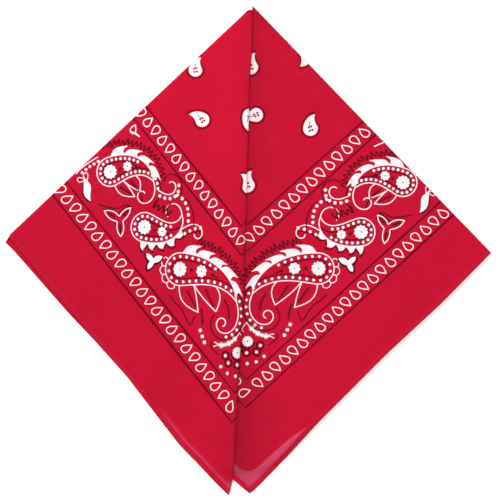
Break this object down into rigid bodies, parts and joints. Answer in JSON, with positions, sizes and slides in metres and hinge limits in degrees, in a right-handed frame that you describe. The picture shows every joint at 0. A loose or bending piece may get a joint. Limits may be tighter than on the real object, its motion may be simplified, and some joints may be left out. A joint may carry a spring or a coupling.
{
  "type": "bandana",
  "caption": "Square cotton bandana with a paisley border print, folded flat into a smaller square and laid point down.",
  "frame": {"origin": "middle of the folded square's outline, on the surface it rests on", "axes": "+Z up through the folded layers, out of the front; +Y towards the point where the two folded edges meet; +X towards the side corner on the right, seen from the front with +Y up"},
  "size_m": [0.3853, 0.3876, 0.0056],
  "materials": {
    "printed_cloth": "matte plain-woven cotton, red with a white and black paisley print",
    "hem_cloth": "matte plain-woven cotton, red, turned and stitched",
    "inner_cloth": "matte plain-woven cotton, red, hidden between the outer layers"
  },
  "bodies": {
    "root": {"front_flap": "printed_cloth", "front_corner": "printed_cloth", "back_corner": "printed_cloth", "back_flap": "printed_cloth", "front_flap_hem": "hem_cloth", "front_corner_hem": "hem_cloth", "front_corner_hem_left": "hem_cloth", "back_corner_hem": "hem_cloth", "back_flap_hem": "hem_cloth", "inner_layers": "inner_cloth"}
  },
  "joints": []
}
